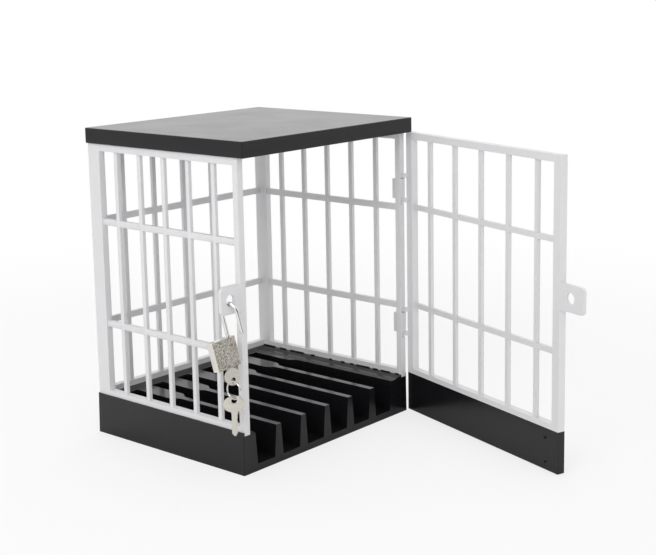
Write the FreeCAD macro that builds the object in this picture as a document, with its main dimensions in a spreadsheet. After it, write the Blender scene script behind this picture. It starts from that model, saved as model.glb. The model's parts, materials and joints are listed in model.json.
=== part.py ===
import FreeCAD, Part
import math
import os
import Sketcher

# Lockable phone cage: a slotted base tray, three barred panels, a lid, a barred
# door and a small key padlock that hangs on the left panel's lug.
# Frame: millimetres, +Z up, the door opening faces -Y, and the origin is the
# centre of the base tray's underside. The door stands open, as it is stored.

Vector = FreeCAD.Vector
doc = FreeCAD.newDocument("phone_cage")
sheet = doc.addObject("Spreadsheet::Sheet", "sizes")
pieces = []

DRIVING = {
    "overall_height": 205.0,
    "base_width": 161.6,
    "base_depth": 136.4,
    "rim_inset": 0.4,
    "rim_height": 27.0,
    "rim_wall": 0.7,
    "seat_depth": 2.0,
    "seat_gap": 0.1,
    "slot_floor": 4.5,
    "slot_count": 6.0,
    "rib_pitch": 23.05,
    "rib_top": 4.3,
    "slot_inset": 1.7,
    "rib_back": 12.6,
    "flare_start": 85.0,
    "flare_length": 10.0,
    "slot_length": 124.7,
    "first_rib": 31.25,
    "moulding_wall": 1.5,
    "cut_over": 1.0,
    "lid_height": 10.0,
    "lid_side_lap": 0.2,
    "lid_front_lap": 6.0,
    "lid_plate": 2.0,
    "lid_seat_width": 6.0,
    "panel_thick": 4.6,
    "front_stile": 4.0,
    "back_stile": 6.0,
    "top_rail": 4.6,
    "bottom_rail": 3.4,
    "bar_width": 3.0,
    "bar_depth": 3.0,
    "bar_crown": 0.7,
    "side_bar_pitch": 22.02,
    "side_bar_first": 22.3,
    "wide_bar_pitch": 27.15,
    "bar_count": 5.0,
    "cross_rail": 4.2,
    "cross_rail_low": 75.8,
    "cross_rail_high": 143.9,
    "lug_reach": 16.3,
    "lug_height": 16.6,
    "lug_middle": 111.1,
    "lug_thick": 2.2,
    "lug_corner": 3.0,
    "lug_hole": 7.2,
    "lug_hole_reach": 8.5,
    "door_side_gap": 0.6,
    "door_head_gap": 0.4,
    "door_foot": 0.5,
    "door_gap": 0.3,
    "door_thick": 5.0,
    "kick_thick": 5.3,
    "door_stile": 6.1,
    "door_cross_rail": 3.6,
    "door_bar_shift": 0.9,
    "tab_thick": 2.0,
    "tab_reach": 20.85,
    "hinge_inset": 3.82,
    "hinge_lead": 2.25,
    "hinge_angle": 72.6,
    "hinge_low": 63.3,
    "hinge_high": 156.4,
    "hinge_block": 13.5,
    "hinge_barrel": 3.5,
    "hinge_arm": 3.0,
    "hinge_arm_end": 2.3,
    "hinge_pin": 1.6,
    "pin_fit": 0.04,
    "hinge_play": 0.25,
    "nib_size": 0.8,
    "nib_reach": 1.2,
    "nib_inset": 11.9,
    "nib_high": 20.8,
    "nib_low": 5.5,
    "mouth_side": 0.65,
    "mouth_back": 3.88,
    "mouth_drop": 22.65,
    "lock_yaw": -10.6,
    "lock_pitch": -8.1,
    "lock_roll": -10.1,
    "lock_width": 17.0,
    "lock_tall": 17.8,
    "lock_thick": 6.2,
    "lock_corner": 0.9,
    "leg_inset": 3.1,
    "leg_spacing": 11.3,
    "wire": 2.5,
    "wire_fit": 0.08,
    "leg_bore_depth": 13.5,
    "leg_depth": 4.5,
    "free_bore_depth": 6.0,
    "arch_rise": 14.2,
    "free_leg": 12.8,
    "shackle_angle": 110.2,
    "bend_sides": 12.0,
    "lock_throw": 6.5,
    "plug_size": 4.2,
    "plug_length": 11.0,
    "plug_inset": 7.6,
    "plug_fit": 0.05,
    "keyway_width": 1.1,
    "pin_size": 1.2,
    "pin_pitch": 1.9,
    "pin_first": 3.2,
    "pin_count": 3.0,
    "key_pin": 1.1,
    "driver_pin": 1.5,
    "latch_length": 7.0,
    "latch_size": 1.8,
    "latch_drop": 1.4,
    "latch_travel": 1.0,
    "latch_nose": 0.4,
    "cam_post": 0.9,
    "cam_offset": 0.5,
    "cam_room": 1.6,
    "retainer": 0.8,
    "retainer_inset": 2.6,
    "retainer_skin": 1.4,
    "spring_wall": 0.3,
    "chamber_plug": 1.1,
    "key_thick": 0.9,
    "key_bow": 10.6,
    "key_bow_drop": 0.6,
    "key_bow_shift": 0.8,
    "key_hole": 3.4,
    "key_hole_wall": 1.3,
    "key_blade": 2.6,
    "key_blade_length": 8.6,
    "ring_size": 12.0,
    "ring_wire": 1.1,
    "ring_gap": 0.25,
    "ring_sides": 8.0,
    "spare_yaw": -42.0,
    "spare_bow": 11.6,
    "spare_blade": 3.6,
    "spare_length": 25.0,
}

for row, (alias, number) in enumerate(DRIVING.items(), start=1):
    sheet.set("A%d" % row, alias.replace("_", " "))
    sheet.set("B%d" % row, "%g" % number)
    sheet.setAlias("B%d" % row, alias)
doc.recompute()


class Size:
    """A length that knows its value and the sheet expression that drives it."""

    def __init__(self, text, value):
        self.text = text
        self.value = value

    def joined(self, sign, other, value):
        return Size("(%s %s %s)" % (self.text, sign, other.text), value)

    def __add__(self, other):
        other = as_size(other)
        return self.joined("+", other, self.value + other.value)

    def __radd__(self, other):
        return as_size(other) + self

    def __sub__(self, other):
        other = as_size(other)
        return self.joined("-", other, self.value - other.value)

    def __rsub__(self, other):
        return as_size(other) - self

    def __mul__(self, other):
        other = as_size(other)
        return self.joined("*", other, self.value * other.value)

    def __rmul__(self, other):
        return self * other

    def __truediv__(self, other):
        other = as_size(other)
        return self.joined("/", other, self.value / other.value)

    def __neg__(self):
        return 0 - self


def as_size(number):
    """A plain number as a size; a size is passed through."""
    if isinstance(number, Size):
        return number
    return Size("%.9g" % number, float(number))


def size(alias):
    """The sheet cell with this alias."""
    return Size("sizes." + alias, float(sheet.get(alias)))


def bind(thing, prop, number):
    """Tie a property of a document object to a size."""
    thing.setExpression(prop, as_size(number).text)


def new_body(label):
    """A sub-part: one body whose label names its file."""
    body = doc.addObject("PartDesign::Body", label)
    body.Label = label
    pieces.append(body)
    return body


def new_sketch(body, name, plane, lift=0):
    """A sketch on one of the body's origin planes, lifted along its normal."""
    sketch = body.newObject("Sketcher::SketchObject", name)
    support = [item for item in body.Origin.OriginFeatures if item.Role == plane]
    sketch.AttachmentSupport = [(support[0], "")]
    sketch.MapMode = "FlatFace"
    bind(sketch, "AttachmentOffset.Base.z", lift)
    return sketch


def hold_point(sketch, edge, end, across, up):
    """Hold one end of an edge at a place given by two sizes."""
    across = as_size(across)
    up = as_size(up)
    held = sketch.addConstraint(Sketcher.Constraint("DistanceX", -1, 1, edge, end, across.value))
    sketch.setExpression("Constraints[%d]" % held, across.text)
    held = sketch.addConstraint(Sketcher.Constraint("DistanceY", -1, 1, edge, end, up.value))
    sketch.setExpression("Constraints[%d]" % held, up.text)


def arc_between(start, finish, radius, left):
    """The short arc of a radius from one point to another, turning left or right."""
    chord = finish - start
    half = chord.Length / 2
    rise = math.sqrt(max(radius * radius - half * half, 0.0))
    side = Vector(-chord.y, chord.x, 0).normalize() * (rise if left else -rise)
    centre = start + chord * 0.5 + side
    first, last = (start, finish) if left else (finish, start)
    angles = [math.atan2(p.y - centre.y, p.x - centre.x) for p in (first, last)]
    return Part.ArcOfCircle(Part.Circle(centre, Vector(0, 0, 1), radius), angles[0], angles[1])


def outline(sketch, corners):
    """A closed outline of straight sides and arcs.

    A corner is (x, y), or (x, y, turn, radius) where the side that leaves it is
    an arc that turns "left" or "right".
    """
    places = [Vector(as_size(c[0]).value, as_size(c[1]).value, 0) for c in corners]
    base = sketch.GeometryCount
    count = len(corners)
    ends = []
    for index, corner in enumerate(corners):
        start = places[index]
        finish = places[(index + 1) % count]
        if len(corner) == 2:
            sketch.addGeometry(Part.LineSegment(start, finish), False)
            ends.append((1, 2))
        else:
            radius = as_size(corner[3])
            left = corner[2] == "left"
            edge = sketch.addGeometry(arc_between(start, finish, radius.value, left), False)
            held = sketch.addConstraint(Sketcher.Constraint("Radius", edge, radius.value))
            sketch.setExpression("Constraints[%d]" % held, radius.text)
            ends.append((1, 2) if left else (2, 1))
    for index, corner in enumerate(corners):
        after = (index + 1) % count
        joint = Sketcher.Constraint("Coincident", base + index, ends[index][1],
                                    base + after, ends[after][0])
        sketch.addConstraint(joint)
        hold_point(sketch, base + index, ends[index][0], corner[0], corner[1])


def box_outline(sketch, left, bottom, right, top):
    """A rectangle between two corners."""
    outline(sketch, [(left, bottom), (right, bottom), (right, top), (left, top)])


def circle(sketch, across, up, radius):
    """A circle whose centre and radius are sizes."""
    across = as_size(across)
    up = as_size(up)
    radius = as_size(radius)
    centre = Vector(across.value, up.value, 0)
    edge = sketch.addGeometry(Part.Circle(centre, Vector(0, 0, 1), radius.value), False)
    hold_point(sketch, edge, 3, across, up)
    held = sketch.addConstraint(Sketcher.Constraint("Radius", edge, radius.value))
    sketch.setExpression("Constraints[%d]" % held, radius.text)


def feature(body, kind, name, sketch, length, backwards=False):
    """A pad or a pocket of a sketch. Pads run along the sketch's normal."""
    made = body.newObject("PartDesign::" + kind, name)
    made.Profile = sketch
    made.Reversed = backwards
    bind(made, "Length", length)
    sketch.Visibility = False
    return made


def pad(body, name, sketch, length, backwards=False):
    return feature(body, "Pad", name, sketch, length, backwards)


def pocket(body, name, sketch, length, backwards=False):
    """A cut that must take material away: its volume is compared."""
    doc.recompute()
    before = body.Shape.Volume
    made = feature(body, "Pocket", name, sketch, length, backwards)
    doc.recompute()
    if body.Shape.Volume > before - 1e-6:
        raise ValueError("%s cuts nothing from %s" % (name, body.Label))
    return made


def revolve(body, kind, name, sketch, axis_x, angle):
    """Turn a sketch about an upright line drawn in it."""
    line = Part.LineSegment(Vector(axis_x.value, 0, 0), Vector(axis_x.value, 1, 0))
    axis = sketch.addGeometry(line, True)
    hold_point(sketch, axis, 1, axis_x, 0)
    hold_point(sketch, axis, 2, axis_x, size("cut_over"))
    doc.recompute()
    made = body.newObject("PartDesign::" + kind, name)
    made.Profile = sketch
    made.ReferenceAxis = (sketch, ["Axis0"])
    made.Angle = angle
    sketch.Visibility = False
    doc.recompute()
    return made


def wire_section(sketch, across, up, radius, sides):
    """A bent wire's section as a circle of short flats, which keeps its mesh light."""
    step = 2 * math.pi / int(size(sides).value)
    corners = [(math.cos(step * k), math.sin(step * k)) for k in range(int(size(sides).value))]
    outline(sketch, [(across + radius * c, up + radius * u) for c, u in corners])


def axis_of(body, role):
    """One of the body's origin axes."""
    return [item for item in body.Origin.OriginFeatures if item.Role == role][0]


def repeat(body, name, original, role, pitch, count, backwards=False):
    """A row of copies of a feature along one of the body's axes."""
    row = body.newObject("PartDesign::LinearPattern", name)
    row.Originals = [original]
    row.Direction = (axis_of(body, role), [""])
    row.Reversed = backwards
    bind(row, "Length", pitch * (count - 1))
    bind(row, "Occurrences", count)
    body.Tip = row
    return row


def round_edges(body, name, radius, chosen):
    """Fillet the edges that a test chooses."""
    doc.recompute()
    base = body.Tip
    names = ["Edge%d" % (i + 1) for i, edge in enumerate(base.Shape.Edges) if chosen(edge)]
    made = body.newObject("PartDesign::Fillet", name)
    made.Base = (base, names)
    bind(made, "Radius", radius)
    return made


def upright(edge):
    """A straight edge that runs mainly along Z."""
    box = edge.BoundBox
    return edge.Curve.TypeId == "Part::GeomLine" and box.ZLength > 8 * (box.XLength + box.YLength)


# Places that several pieces share
half_width = size("base_width") / 2
front = -size("base_depth") / 2
cage_half = half_width - size("rim_inset") - size("rim_wall") - size("seat_gap")
base_back = size("base_depth") / 2 - size("rim_inset")
cage_back = base_back - size("rim_wall") - size("seat_gap")
side_depth = cage_back - size("panel_thick") - front
ledge = size("rim_height") - size("seat_depth")
lid_under = size("overall_height") - size("lid_height")
panel_top = lid_under + size("seat_depth")
window_top = lid_under - size("top_rail")
window_low = size("rim_height") + size("bottom_rail")
lug_hole_x = -cage_half - size("lug_hole_reach")
hinge_x = cage_half
hinge_y = front + size("hinge_inset")
door_face = -size("hinge_inset") - size("door_gap")
door_edge = -size("hinge_lead")
door_free = size("door_side_gap") - 2 * cage_half
hinge_levels = {"lower": size("hinge_low"), "upper": size("hinge_high")}


# Base tray: one moulding with six open slots, a seat for the panels and a rim
def make_base_tray():
    body = new_body("base_tray")
    inset = size("rim_inset")
    over = size("cut_over")
    face = new_sketch(body, "tray_front", "XZ_Plane", -front)
    outline(face, [(-half_width, 0), (half_width, 0),
                   (half_width - inset, size("rim_height")),
                   (inset - half_width, size("rim_height"))])
    pad(body, "tray_block", face, size("base_depth"), True)
    wedge = new_sketch(body, "tray_back_lean", "YZ_Plane", -half_width)
    back = size("base_depth") / 2
    outline(wedge, [(back, 0), (back + inset, size("rim_height")),
                    (back - inset, size("rim_height"))])
    pocket(body, "tray_back_slope", wedge, size("base_width"), True)
    round_edges(body, "tray_corners", size("rim_wall"), upright)
    seat = new_sketch(body, "panel_seat", "XY_Plane", size("rim_height"))
    inner = half_width - inset - size("rim_wall")
    box_outline(seat, -inner, front - over, inner, base_back - size("rim_wall"))
    pocket(body, "panel_seat_cut", seat, size("seat_depth"))

    # Slots: straight for the phone, then drawn in by two tangent arcs each side
    narrow = (size("rib_back") - size("rib_top")) / 2
    run = size("flare_length")
    bend = (run * run + narrow * narrow) / (narrow * 4)
    wide = (size("rib_pitch") - size("rib_top")) / 2
    middle = size("first_rib") - size("rib_pitch") / 2 - half_width
    slot = new_sketch(body, "slot_plan", "XY_Plane", ledge)
    start = front + size("flare_start")
    end = front + size("slot_length")
    lead = front - 2 * size("slot_inset")
    outline(slot, [
        (middle - wide, lead), (middle + wide, lead),
        (middle + wide, start, "left", bend),
        (middle + wide - narrow / 2, start + run / 2, "right", bend),
        (middle + wide - narrow, start + run),
        (middle + wide - narrow, end), (middle - wide + narrow, end),
        (middle - wide + narrow, start + run, "right", bend),
        (middle - wide + narrow / 2, start + run / 2, "left", bend),
        (middle - wide, start)])
    cut = pocket(body, "slot", slot, ledge - size("slot_floor"))
    lean = "-atan(%s)" % (size("slot_inset") / (ledge - size("slot_floor"))).text
    cut.setExpression("TaperAngle", lean)
    doc.recompute()
    repeat(body, "slot_row", cut, "X_Axis", size("rib_pitch"), size("slot_count"))

    # Core: the ribs and the back are hollow from below, with walls of one thickness
    wall = size("moulding_wall")
    spread = wall - size("slot_inset") * ledge / (ledge - size("slot_floor"))
    near, far = front + wall, back - wall
    side = half_width - wall
    comb = [(-side, near)]
    for number in range(int(size("slot_count").value)):
        centre = middle + size("rib_pitch") * number
        mouth, neck = wide + spread, wide - narrow + spread
        comb += [(centre - mouth, near), (centre - mouth, start + run),
                 (centre - neck, start + run), (centre - neck, end + spread),
                 (centre + neck, end + spread), (centre + neck, start + run),
                 (centre + mouth, start + run), (centre + mouth, near)]
    comb += [(side, near), (side, far), (-side, far)]
    core = new_sketch(body, "rib_core_plan", "XY_Plane", 0)
    outline(core, comb)
    hollow = pocket(body, "rib_cores", core, ledge - wall, True)
    hollow.setExpression("TaperAngle", lean)
    return body


# Lid: a moulded cap whose skirt holds the panel tops, hollow from below
def make_lid():
    body = new_body("lid")
    side = half_width + size("lid_side_lap")
    front_edge = front - size("lid_front_lap")
    plan = new_sketch(body, "lid_plan", "XY_Plane", lid_under)
    box_outline(plan, -side, front_edge, side, base_back)
    pad(body, "lid_block", plan, size("lid_height"))
    round_edges(body, "lid_corners", size("rim_wall"), upright)
    seat = new_sketch(body, "lid_seat", "XY_Plane", lid_under)
    fit = cage_half + size("seat_gap")
    box_outline(seat, -fit, front - size("seat_gap"), fit, cage_back + size("seat_gap"))
    pocket(body, "lid_seat_cut", seat, size("seat_depth"), True)
    core = new_sketch(body, "lid_core", "XY_Plane", lid_under)
    wall = size("lid_seat_width")
    box_outline(core, wall - fit, front + wall, fit - wall, cage_back - wall)
    pocket(body, "lid_core_cut", core, size("lid_height") - size("lid_plate"), True)
    return body


def bar_profile(sketch, middle, width, inner, outer, along_x):
    """A bar's section: flat on its inner face, crowned on its outer face."""
    half = as_size(width) / 2
    crown = size("bar_crown")
    bow = (half * half + crown * crown) / (crown * 2)
    sign = 1 if as_size(outer).value > as_size(inner).value else -1
    shoulder = as_size(outer) - crown * sign
    low, high = middle - half, middle + half
    if along_x:
        turn = "left" if sign > 0 else "right"
        corners = [(low, inner), (high, inner), (high, shoulder, turn, bow), (low, shoulder)]
    else:
        turn = "right" if sign > 0 else "left"
        corners = [(inner, low), (inner, high), (shoulder, high, turn, bow), (shoulder, low)]
    outline(sketch, corners)


# Side panels: a moulded frame with five upright bars and two cross rails
def make_side_panel(label, side):
    body = new_body(label)
    outer = cage_half * side
    inner = (cage_half - size("panel_thick")) * side
    bar_in = (cage_half - size("panel_thick") + panel_set_back()) * side
    bar_out = (cage_half - size("panel_thick") + panel_set_back() + size("bar_depth")) * side
    left_face = outer if side < 0 else inner
    frame = new_sketch(body, label + "_frame", "YZ_Plane", left_face)
    box_outline(frame, front, ledge, front + side_depth, panel_top)
    window = [front + size("front_stile"), window_low,
              front + side_depth - size("back_stile"), window_top]
    box_outline(frame, *window)
    pad(body, label + "_ring", frame, size("panel_thick"))
    upright_bar = new_sketch(body, label + "_bar_section", "XY_Plane", window_low)
    bar_profile(upright_bar, front + size("side_bar_first"), size("bar_width"),
                bar_in, bar_out, False)
    doc.recompute()
    bar = pad(body, label + "_bar", upright_bar, window_top - window_low)
    doc.recompute()
    repeat(body, label + "_bars", bar, "Y_Axis", size("side_bar_pitch"), size("bar_count"))
    for name in ("low", "high"):
        rail = new_sketch(body, "%s_rail_%s_section" % (label, name), "XZ_Plane", -window[0])
        middle = size("cross_rail_" + name)
        half = size("cross_rail") / 2
        crown = size("bar_crown")
        bow = (half * half + crown * crown) / (crown * 2)
        shoulder = bar_out - crown * side
        turn = "left" if side < 0 else "right"
        outline(rail, [(bar_in, middle - half), (bar_in, middle + half),
                       (shoulder, middle + half, turn, bow), (shoulder, middle - half)])
        pad(body, "%s_rail_%s" % (label, name), rail, window[2] - window[0], True)
    if side < 0:
        add_lug(body)
    else:
        cut_hinge_notches(body)
    return body


def panel_set_back():
    """How far a bar's flat face lies outside its panel's inner face."""
    return (size("panel_thick") - size("bar_depth")) / 2


def lug_outline(sketch, root, reach, sign):
    """A plate that ends in two rounded corners, with its padlock hole."""
    corner = size("lug_corner")
    low = size("lug_middle") - size("lug_height") / 2
    high = size("lug_middle") + size("lug_height") / 2
    tip = root + reach * sign
    turn = "left" if sign > 0 else "right"
    outline(sketch, [
        (root, low), (tip - corner * sign, low, turn, corner), (tip, low + corner),
        (tip, high - corner, turn, corner), (tip - corner * sign, high), (root, high)])


# Lug: the left panel's plate that the padlock hangs on
def add_lug(body):
    plate = new_sketch(body, "lug_plate", "XZ_Plane", -front - size("lug_thick"))
    over = size("cut_over")
    lug_outline(plate, over - cage_half, size("lug_reach") + over, -1)
    circle(plate, lug_hole_x, size("lug_middle"), size("lug_hole") / 2)
    pad(body, "lug", plate, size("lug_thick"))


# Hinge notches in the right panel's front stile, where the door's arms swing
def cut_hinge_notches(body):
    cut = new_sketch(body, "hinge_notch_plan", "YZ_Plane", cage_half - notch_width())
    reach = size("hinge_block") / 2 + size("hinge_arm") + 2 * size("hinge_play")
    over = size("cut_over")
    stile_end = front + size("front_stile") + over
    for level in hinge_levels.values():
        box_outline(cut, front - over, level - reach, stile_end, level + reach)
    pocket(body, "hinge_notch", cut, notch_width() + over, True)


def notch_width():
    return size("hinge_barrel") + size("seat_gap")


# Back panel: the same frame across the cage's whole width
def make_back_panel():
    body = new_body("back_panel")
    inner = cage_back - size("panel_thick")
    frame = new_sketch(body, "back_frame", "XZ_Plane", -cage_back)
    box_outline(frame, -cage_half, ledge, cage_half, panel_top)
    edge = cage_half - size("panel_thick")
    box_outline(frame, -edge, window_low, edge, window_top)
    pad(body, "back_ring", frame, size("panel_thick"))
    bar_in = inner + panel_set_back()
    bar_out = bar_in + size("bar_depth")
    section = new_sketch(body, "back_bar_section", "XY_Plane", window_low)
    first = -size("wide_bar_pitch") * (size("bar_count") - 1) / 2
    bar_profile(section, first, size("bar_width"), bar_in, bar_out, True)
    doc.recompute()
    bar = pad(body, "back_bar", section, window_top - window_low)
    doc.recompute()
    repeat(body, "back_bars", bar, "X_Axis", size("wide_bar_pitch"), size("bar_count"))
    for name in ("low", "high"):
        rail = new_sketch(body, "back_rail_%s_section" % name, "YZ_Plane", -edge)
        middle = size("cross_rail_" + name)
        bar_profile(rail, middle, size("cross_rail"), bar_in, bar_out, False)
        pad(body, "back_rail_" + name, rail, edge * 2)
    return body


def place_on_hinge(piece):
    """Door pieces are drawn about the closed hinge axis and stored swung open."""
    turn = FreeCAD.Rotation(Vector(0, 0, 1), size("hinge_angle").value)
    piece.Placement = FreeCAD.Placement(Vector(hinge_x.value, hinge_y.value, 0), turn)
    bind(piece, "Placement.Base.x", hinge_x)
    bind(piece, "Placement.Base.y", hinge_y)
    piece.setExpression("Placement.Rotation.Angle", "sizes.hinge_angle * 1 deg")


# Door: a barred frame with a tab for the padlock and two pairs of hinge arms
def make_door_panel():
    body = new_body("door_panel")
    top = lid_under - size("door_head_gap")
    low = size("rim_height")
    outer = door_face - size("door_thick")
    frame = new_sketch(body, "door_frame", "XZ_Plane", -door_face)
    box_outline(frame, door_free, low, door_edge, top)
    stile = size("door_stile")
    left, right = door_free + stile, door_edge - stile
    sill, head = low + size("bottom_rail"), top - size("top_rail")
    box_outline(frame, left, sill, right, head)
    pad(body, "door_ring", frame, size("door_thick"))
    set_back = (size("door_thick") - size("bar_depth")) / 2
    bar_in = door_face - set_back
    bar_out = bar_in - size("bar_depth")
    section = new_sketch(body, "door_bar_section", "XY_Plane", sill)
    middle = (door_free + door_edge) / 2 - size("door_bar_shift")
    first = middle - size("wide_bar_pitch") * (size("bar_count") - 1) / 2
    bar_profile(section, first, size("bar_width"), bar_in, bar_out, True)
    doc.recompute()
    bar = pad(body, "door_bar", section, head - sill)
    doc.recompute()
    repeat(body, "door_bars", bar, "X_Axis", size("wide_bar_pitch"), size("bar_count"))
    for name in ("low", "high"):
        rail = new_sketch(body, "door_rail_%s_section" % name, "YZ_Plane", left)
        bar_profile(rail, size("cross_rail_" + name), size("door_cross_rail"),
                    bar_in, bar_out, False)
        pad(body, "door_rail_" + name, rail, right - left)
    tab = new_sketch(body, "door_tab_plate", "XZ_Plane", -door_face)
    over = size("cut_over")
    lug_outline(tab, door_free + over, size("tab_reach") + over, -1)
    circle(tab, lug_hole_x - hinge_x, size("lug_middle"), size("lug_hole") / 2)
    pad(body, "door_tab", tab, size("tab_thick"))
    add_hinge_arms(body)
    place_on_hinge(body)
    return body


def add_hinge_arms(body):
    """Four arms reach from the door's edge round the two hinge pins."""
    end = size("hinge_arm_end")
    reach = door_face - end
    for name, level in hinge_levels.items():
        for part, offset in (("under", -size("hinge_block") / 2 - size("hinge_play")
                              - size("hinge_arm")),
                             ("over", size("hinge_block") / 2 + size("hinge_play"))):
            title = "%s_%s" % (name, part)
            plan = new_sketch(body, "arm_plan_" + title, "XY_Plane", level + offset)
            root = door_edge - end / 2
            outline(plan, [(root, reach), (door_edge, reach), (door_edge, door_face),
                           (end, 0, "left", end), (0, end, "left", end), (-end, 0),
                           (root, door_face)])
            circle(plan, 0, 0, size("hinge_pin") / 2 + size("pin_fit"))
            pad(body, "arm_" + title, plan, size("hinge_arm"))


# Kick board: the solid black foot of the door that shuts the slots
def make_door_kick_board():
    body = new_body("door_kick_board")
    plan = new_sketch(body, "kick_board_plan", "XY_Plane", size("door_foot"))
    box_outline(plan, door_free, door_face - size("kick_thick"), door_edge, door_face)
    pad(body, "kick_board", plan, size("rim_height") - size("door_foot"))
    nibs = new_sketch(body, "nib_centres", "XZ_Plane", -door_face - size("nib_reach"))
    for level in ("nib_low", "nib_high"):
        circle(nibs, door_free + size("nib_inset"), size(level), size("nib_size"))
    pad(body, "nibs", nibs, size("nib_reach") + size("door_gap"))
    place_on_hinge(body)
    return body


# Hinge blocks: the fixed knuckles between the door's arms, each with its pin
def make_hinge(name, level):
    block = new_body("hinge_block_" + name)
    barrel = size("hinge_barrel")
    plan = new_sketch(block, "block_plan_" + name, "XY_Plane", level - size("hinge_block") / 2)
    outline(plan, [(hinge_x, hinge_y - barrel, "left", barrel),
                   (hinge_x + barrel, hinge_y, "left", barrel),
                   (hinge_x, hinge_y + barrel), (hinge_x - barrel, hinge_y + barrel),
                   (hinge_x - barrel, hinge_y - barrel)])
    circle(plan, hinge_x, hinge_y, size("hinge_pin") / 2 + size("pin_fit"))
    pad(block, "block_" + name, plan, size("hinge_block"))
    rod = new_body("hinge_pin_" + name)
    reach = size("hinge_block") / 2 + size("hinge_arm") + size("hinge_play")
    section = new_sketch(rod, "pin_plan_" + name, "XY_Plane", level - reach)
    circle(section, hinge_x, hinge_y, size("hinge_pin") / 2)
    pad(rod, "pin_" + name, section, reach * 2)


def lock_placement():
    """How the padlock hangs on the lug: its captive leg's mouth and its three turns."""
    spin = FreeCAD.Rotation(size("lock_yaw").value, size("lock_pitch").value,
                            size("lock_roll").value)
    mouth = (lug_hole_x + size("mouth_side"), front + size("mouth_back"),
             size("lug_middle") - size("mouth_drop"))
    return FreeCAD.Placement(Vector(*[place.value for place in mouth]), spin)


def place_in_lock(piece, turn=0.0):
    """Lock pieces are drawn about the captive leg, then hung as in the photo."""
    swing = FreeCAD.Placement(Vector(0, 0, 0), FreeCAD.Rotation(Vector(0, 0, 1), turn))
    piece.Placement = lock_placement().multiply(swing)


# Places inside the padlock, measured from the captive leg's mouth
lock_right = size("leg_inset")
lock_left = lock_right - size("lock_width")
lock_floor = -size("lock_tall")
plug_x = lock_right - size("plug_inset")
plug_top = lock_floor + size("plug_length")
plug_radius = size("plug_size") / 2
latch_top = -size("latch_drop")
latch_low = latch_top - size("latch_size")
latch_nose_x = size("latch_nose") - size("leg_spacing")
latch_tail_x = latch_nose_x + size("latch_length")
way_end = -size("wire") / 2 - size("latch_nose") - size("wire_fit")
cam_x = plug_x - size("cam_offset")
cam_y = -size("cam_offset")
cam_top = latch_low + size("latch_size") / 2 - 2 * size("plug_fit")
pin_levels = [lock_floor + size("pin_first") + size("pin_pitch") * step
              for step in range(int(size("pin_count").value))]
key_pin_x = plug_x - plug_radius + size("seat_gap")
driver_x = plug_x - plug_radius - 2 * size("plug_fit")
spring_x = driver_x - size("driver_pin")
chamber_plug_x = lock_left + size("chamber_plug")
blade_left = key_pin_x + size("key_pin") + size("plug_fit")
leg_end = -size("leg_depth")
bow_middle = lock_floor - size("key_bow_drop") - size("key_bow") / 2
bow_x = plug_x + size("key_bow_shift")
key_hole_z = bow_middle - size("key_bow") / 2 + size("key_hole_wall") + size("key_hole") / 2


# Padlock body: leg bores, a plug bore, a cam room, a latch way and pin chambers
def make_padlock_body():
    body = new_body("padlock_body")
    half = size("lock_thick") / 2
    plan = new_sketch(body, "lock_plan", "XY_Plane", lock_floor)
    box_outline(plan, lock_left, -half, lock_right, half)
    pad(body, "lock_block", plan, size("lock_tall"))
    round_edges(body, "lock_corners", size("lock_corner"), upright)
    bore = size("wire") / 2 + size("wire_fit")
    for name, across, depth in (("captive", 0, size("leg_bore_depth")),
                                ("free", -size("leg_spacing"), size("free_bore_depth"))):
        hole = new_sketch(body, name + "_bore_plan", "XY_Plane", 0)
        circle(hole, across, 0, bore)
        pocket(body, name + "_bore", hole, depth)
    plug = new_sketch(body, "plug_bore_plan", "XY_Plane", lock_floor)
    circle(plug, plug_x, 0, plug_radius + size("plug_fit"))
    pocket(body, "plug_bore", plug, size("plug_length") + size("plug_fit"), True)
    room = new_sketch(body, "cam_room_plan", "XY_Plane", lock_floor)
    circle(room, plug_x, 0, size("cam_room"))
    pocket(body, "cam_room_bore", room, cam_top + size("plug_fit") - lock_floor, True)
    way = new_sketch(body, "latch_way_plan", "YZ_Plane", -size("leg_spacing"))
    play = size("plug_fit")
    side = size("latch_size") / 2 + play
    box_outline(way, -side, latch_low - play, side, latch_top + play)
    pocket(body, "latch_way", way, way_end + size("leg_spacing"), True)
    chambers = new_sketch(body, "chamber_plan", "YZ_Plane", lock_left)
    for level in pin_levels:
        circle(chambers, 0, level, size("pin_size") / 2 + size("plug_fit"))
    pocket(body, "pin_chambers", chambers, plug_x - lock_left, True)
    retainer = new_sketch(body, "retainer_plan", "XZ_Plane", -half)
    circle(retainer, plug_x + plug_radius, plug_top - size("retainer_inset"),
           size("retainer") / 2 + size("plug_fit"))
    pocket(body, "retainer_bore", retainer, size("lock_thick") - size("retainer_skin"), True)
    place_in_lock(body)
    return body


# Shackle: one bent wire, with a notch in the free leg for the latch
def make_shackle():
    body = new_body("shackle")
    span = size("leg_spacing")
    wire = size("wire") / 2
    crown = size("arch_rise")
    section = new_sketch(body, "arch_section", "XY_Plane", crown)
    wire_section(section, as_size(0), as_size(0), wire, "bend_sides")
    arch = revolve(body, "Revolution", "shackle_arch", section, -span / 2, 180)
    arch.Reversed = True
    for name, across, foot in (("captive", 0, leg_end), ("free", -span, crown - size("free_leg"))):
        leg = new_sketch(body, name + "_leg_section", "XY_Plane", foot)
        circle(leg, across, 0, wire)
        pad(body, name + "_leg", leg, crown - foot)
    doc.recompute()
    notch = new_sketch(body, "shackle_notch_plan", "YZ_Plane", latch_nose_x - size("plug_fit"))
    deep = size("wire")
    low = latch_low + size("lock_throw") - size("seat_gap")
    high = latch_top + size("lock_throw") + size("seat_gap")
    box_outline(notch, -deep, low, deep, high)
    pocket(body, "shackle_notch", notch, deep, True)
    place_in_lock(body, size("shackle_angle").value)
    return body


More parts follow.
